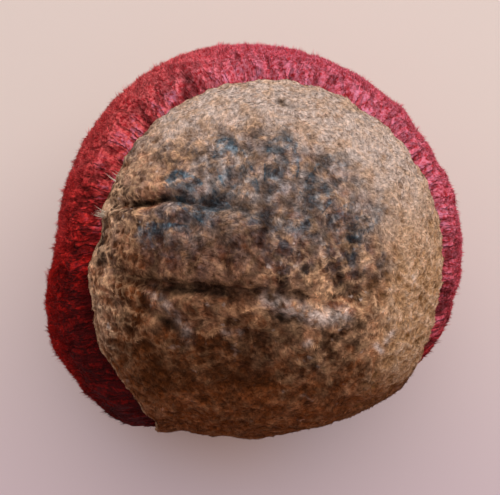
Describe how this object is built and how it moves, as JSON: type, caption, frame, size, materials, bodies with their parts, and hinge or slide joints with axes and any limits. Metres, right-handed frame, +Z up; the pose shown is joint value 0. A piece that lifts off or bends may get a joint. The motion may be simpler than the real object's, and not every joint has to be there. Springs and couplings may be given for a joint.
{
  "type": "footbag",
  "caption": "Slack round kicking bag of suede: a tan and a red dog-bone panel sewn together along one curved seam and filled with loose plastic pellets.",
  "frame": {"origin": "on the table plane, under the middle of the resting bag's box", "axes": "+Z up, out of the crown of the top tan lobe; +X to the right in the picture; +Y towards the red panel's waist"},
  "size_m": [0.0521, 0.05, 0.0402],
  "materials": {
    "tan_suede": "worn suede, matte and napped",
    "red_suede": "worn crimson suede, matte and napped",
    "thread": "matte sewing thread",
    "pellet_plastic": "satin plastic pellets"
  },
  "bodies": {
    "bag": {"tan_panel": "tan_suede", "red_panel": "red_suede", "seam_thread": "thread", "closing_thread": "thread", "pellet_bed": "pellet_plastic", "low_pellet_01": "pellet_plastic", "low_pellet_02": "pellet_plastic", "low_pellet_03": "pellet_plastic", "low_pellet_04": "pellet_plastic", "low_pellet_05": "pellet_plastic", "low_pellet_06": "pellet_plastic", "low_pellet_07": "pellet_plastic", "low_pellet_08": "pellet_plastic", "low_pellet_09": "pellet_plastic", "low_pellet_10": "pellet_plastic", "low_pellet_11": "pellet_plastic", "low_pellet_12": "pellet_plastic", "low_pellet_13": "pellet_plastic", "low_pellet_14": "pellet_plastic", "low_pellet_15": "pellet_plastic", "low_pellet_16": "pellet_plastic", "low_pellet_17": "pellet_plastic", "low_pellet_18": "pellet_plastic", "low_pellet_19": "pellet_plastic"},
    "loose_pellet_01": {"top_pellet_01": "pellet_plastic"},
    "loose_pellet_02": {"top_pellet_02": "pellet_plastic"},
    "loose_pellet_03": {"top_pellet_03": "pellet_plastic"},
    "loose_pellet_04": {"top_pellet_04": "pellet_plastic"},
    "loose_pellet_05": {"top_pellet_05": "pellet_plastic"},
    "loose_pellet_06": {"top_pellet_06": "pellet_plastic"},
    "loose_pellet_07": {"top_pellet_07": "pellet_plastic"},
    "loose_pellet_08": {"top_pellet_08": "pellet_plastic"},
    "loose_pellet_09": {"top_pellet_09": "pellet_plastic"},
    "loose_pellet_10": {"top_pellet_10": "pellet_plastic"},
    "loose_pellet_11": {"top_pellet_11": "pellet_plastic"},
    "loose_pellet_12": {"top_pellet_12": "pellet_plastic"}
  },
  "joints": [
    {"name": "pellet_hop_01", "type": "slide", "parent": "bag", "child": "loose_pellet_01", "axis": [0, 0, 1], "range_m": [0, 0.0035]},
    {"name": "pellet_hop_02", "type": "slide", "parent": "bag", "child": "loose_pellet_02", "axis": [0, 0, 1], "range_m": [0, 0.0035]},
    {"name": "pellet_hop_03", "type": "slide", "parent": "bag", "child": "loose_pellet_03", "axis": [0, 0, 1], "range_m": [0, 0.0035]},
    {"name": "pellet_hop_04", "type": "slide", "parent": "bag", "child": "loose_pellet_04", "axis": [0, 0, 1], "range_m": [0, 0.0035]},
    {"name": "pellet_hop_05", "type": "slide", "parent": "bag", "child": "loose_pellet_05", "axis": [0, 0, 1], "range_m": [0, 0.0035]},
    {"name": "pellet_hop_06", "type": "slide", "parent": "bag", "child": "loose_pellet_06", "axis": [0, 0, 1], "range_m": [0, 0.0035]},
    {"name": "pellet_hop_07", "type": "slide", "parent": "bag", "child": "loose_pellet_07", "axis": [0, 0, 1], "range_m": [0, 0.0035]},
    {"name": "pellet_hop_08", "type": "slide", "parent": "bag", "child": "loose_pellet_08", "axis": [0, 0, 1], "range_m": [0, 0.0035]},
    {"name": "pellet_hop_09", "type": "slide", "parent": "bag", "child": "loose_pellet_09", "axis": [0, 0, 1], "range_m": [0, 0.0035]},
    {"name": "pellet_hop_10", "type": "slide", "parent": "bag", "child": "loose_pellet_10", "axis": [0, 0, 1], "range_m": [0, 0.0035]},
    {"name": "pellet_hop_11", "type": "slide", "parent": "bag", "child": "loose_pellet_11", "axis": [0, 0, 1], "range_m": [0, 0.0035]},
    {"name": "pellet_hop_12", "type": "slide", "parent": "bag", "child": "loose_pellet_12", "axis": [0, 0, 1], "range_m": [0, 0.0035]}
  ]
}
